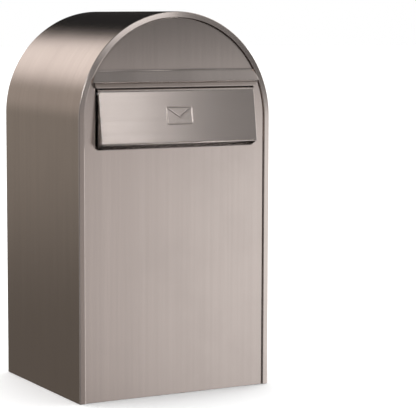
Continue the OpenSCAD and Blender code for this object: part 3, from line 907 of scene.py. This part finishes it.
def build_floor():
    """Plain pale floor, which the metal doesn't mirror."""
    signs = ((-1, -1), (1, -1), (1, 1), (-1, 1))
    corners = [Vector((x * FLOOR_HALF, y * FLOOR_HALF, FLOOR_Z)) for x, y in signs]
    floor = mesh_from("floor", corners, [(0, 1, 2, 3)])
    m = Material("floor_paint")
    m.set("Base Color", (0.92, 0.92, 0.92))
    m.set("Roughness", 0.9)
    m.set("Specular IOR Level", 0.0)
    paint(floor, m.material)
    floor.visible_glossy = False


class Studio(Graph):
    """The surroundings: softboxes placed by direction, in a dark room."""

    def __init__(self):
        world = bpy.data.worlds.new("studio")
        bpy.context.scene.world = world
        world.use_nodes = True
        super().__init__(world.node_tree)
        self.tree.nodes.clear()
        split = self.add("ShaderNodeSeparateXYZ")
        self.feed(split.inputs[0], self.add("ShaderNodeTexCoord").outputs["Generated"])
        x, y, z = split.outputs
        self.up = self.degrees(self.math("ARCSINE", z, 0.0))
        self.across = {
            "front": self.degrees(self.math("ARCTAN2", x, self.math("MULTIPLY", y, -1.0))),
            "back": self.degrees(self.math("ARCTAN2", self.math("MULTIPLY", x, -1.0), y)),
        }
        self.light = None

    def degrees(self, value):
        return self.math("MULTIPLY", value, 180 / math.pi)

    def step(self, value, middle, soft):
        """0 below middle - soft, 1 above middle + soft."""
        node = self.add("ShaderNodeMapRange", interpolation_type="SMOOTHSTEP")
        self.feed(node.inputs["From Min"], middle - soft)
        self.feed(node.inputs["From Max"], middle + soft)
        self.feed(node.inputs["Value"], value)
        return node.outputs["Result"]

    def between(self, value, ends, softs):
        """1 between two ends and 0 outside them, each end with its own softness."""
        rise, fall = (self.step(value, end, soft) for end, soft in zip(ends, softs))
        return self.math("SUBTRACT", rise, fall)

    def softbox(self, side, across, up, soft_across, soft_up, color, strength):
        """Adds light between two angles across and two angles up, with soft edges."""
        patch = self.math("MULTIPLY", self.between(self.across[side], across, soft_across),
                          self.between(self.up, up, soft_up))
        tinted = self.add("ShaderNodeVectorMath", operation="SCALE")
        tinted.inputs[0].default_value = color
        self.feed(tinted.inputs["Scale"], self.math("MULTIPLY", patch, strength))
        if self.light is None:
            self.light = tinted.outputs[0]
            return
        total = self.add("ShaderNodeVectorMath", operation="ADD")
        self.feed(total.inputs[0], self.light)
        self.feed(total.inputs[1], tinted.outputs[0])
        self.light = total.outputs[0]

    def finish(self):
        """The camera sees plain white; everything else sees the softboxes."""
        lit = self.add("ShaderNodeBackground")
        self.feed(lit.inputs["Color"], self.light)
        plain = self.add("ShaderNodeBackground")
        self.feed(plain.inputs["Color"], WHITE)
        mix = self.add("ShaderNodeMixShader")
        self.feed(mix.inputs["Fac"], self.add("ShaderNodeLightPath").outputs["Is Camera Ray"])
        self.feed(mix.inputs[1], lit.outputs[0])
        self.feed(mix.inputs[2], plain.outputs[0])
        self.feed(self.add("ShaderNodeOutputWorld").inputs["Surface"], mix.outputs[0])


# Each softbox: the side that it is measured from ("front" goes to the right, and "back" to
# the left, as seen from the front), then in degrees its two ends across, its two ends up and
# how soft those ends are, then its colour and its strength.
SOFTBOXES = {
    "key low": ("front", (13, 28.4), (7, 19), (5, 1.2), (2.5, 2.5), WHITE, 1.93),
    "right low": ("front", (28.4, 70), (7, 19), (1.2, 10), (2.5, 2.5), WHITE, 0.22),
    "right high": ("front", (36, 75), (19, 60), (5, 10), (2.5, 8), WHITE, 0.56),
    "strip left": ("front", (8, 27.5), (-14, -1.7), (8, 3), (2.5, 2.4), (1, 0.9, 0.86), 0.38),
    "strip right": ("front", (27.5, 65), (-14, -1.7), (3, 10), (2.5, 2.4), WHITE, 1.09),
    "near floor": ("front", (-30, 80), (-50, -26), (15, 15), (8, 3), WHITE, 0.02),
    "sill": ("front", (8, 70), (-27, -14), (8, 10), (3, 2.5), (1, 0.88, 0.8), 0.13),
    "edge left": ("front", (-25, -8), (8, 13), (2, 2), (1.5, 1.5), WHITE, 14.0),
    "edge low": ("front", (66, 79), (-62, -56), (3, 3), (2, 2), WHITE, 7.0),
    "horizon": ("front", (8, 70), (-1.4, 7), (8, 10), (2.4, 2.5), WHITE, 0.07),
    "camera side": ("front", (-75, 13), (-30, 12), (10, 5), (8, 8), WHITE, 0.1),
    "camera side high": ("front", (-75, 13), (12, 55), (10, 5), (8, 8), WHITE, 0.25),
    "rear right": ("back", (-85, -10), (-34, -9), (10, 4), (8, 3), (1, 0.94, 0.9), 0.8),
    "behind right": ("back", (-60, 0), (-9, 35), (12, 3), (3, 8), WHITE, 0.02),
    "behind left high": ("back", (0, 40), (15, 45), (3, 12), (5, 8), (1, 0.92, 0.87), 1.16),
    "behind left middle": ("back", (0, 60), (1, 15), (3, 12), (4, 5), (1, 0.89, 0.79), 0.40),
    "behind left low": ("back", (0, 60), (-7, 1), (3, 12), (3, 4), (1, 0.9, 0.78), 0.265),
    "behind left floor": ("back", (0, 60), (-19, -7), (3, 12), (3, 3), (1, 0.88, 0.75), 0.127),
    "rear left": ("back", (0, 85), (-42, -19), (3, 10), (8, 3), (1, 0.94, 0.9), 0.6),
    "far left": ("back", (60, 105), (-25, 45), (12, 10), (8, 8), WHITE, 0.6),
    "far right": ("front", (70, 120), (-25, 60), (10, 12), (8, 8), WHITE, 1.6),
    "overhead": ("front", (-179, 179), (60, 91), (1, 1), (8, 0.5), WHITE, 0.12),
}


def build_world():
    """Hangs all the softboxes in the studio."""
    studio = Studio()
    for softbox in SOFTBOXES.values():
        studio.softbox(*softbox)
    studio.finish()


def build_sun():
    """Soft daylight from above for the floor. Mirrored light comes from the softboxes alone."""
    data = bpy.data.lights.new("sun", "SUN")
    data.energy = SUN_STRENGTH
    data.angle = SUN_SPREAD
    sun = new_object("sun", data)
    sun.rotation_euler = (SUN_TILT, 0, 0)
    sun.visible_glossy = False


# ---- build ----

build_camera()
build_world()
build_sun()
build_floor()

STEEL = (0.70, 0.62, 0.58)
DULL_STEEL = (0.5, 0.46, 0.44)

shell_steel = brushed_steel("shell_steel", STEEL, 0.20, (14, 900, 14), 0.85)
panel_steel = brushed_steel("panel_steel", STEEL, 0.18, (1100, 40, 9), 0.85)
cross_steel = brushed_steel("cross_steel", STEEL, 0.20, (9, 40, 1100), 0.95)
inner_steel = brushed_steel("inner_steel", DULL_STEEL, 0.42, (300, 300, 20), 0.3, grain=None)

paint(build_shell(), shell_steel)
paint(build_front_panel(), panel_steel)
paint(build_hood_panel(), panel_steel)
paint(build_back_panel(), panel_steel)
paint(build_flap(), cross_steel)
paint(build_door(), panel_steel)

finishes = {
    "inner_steel": inner_steel,
    "plated_steel": plated_metal("zinc_plate", (0.62, 0.62, 0.63), 0.28),
    "lock_chrome": plated_metal("chrome_plate", (0.75, 0.75, 0.76), 0.08),
    "black_rubber": rubber("black_rubber"),
    "outer_steel": panel_steel,
}
for part in frame["record"]["subparts"]:
    paint(frame["nodes"][part["node"]], finishes[part["material_slot"]])

bpy.context.scene.view_settings.view_transform = "Standard"
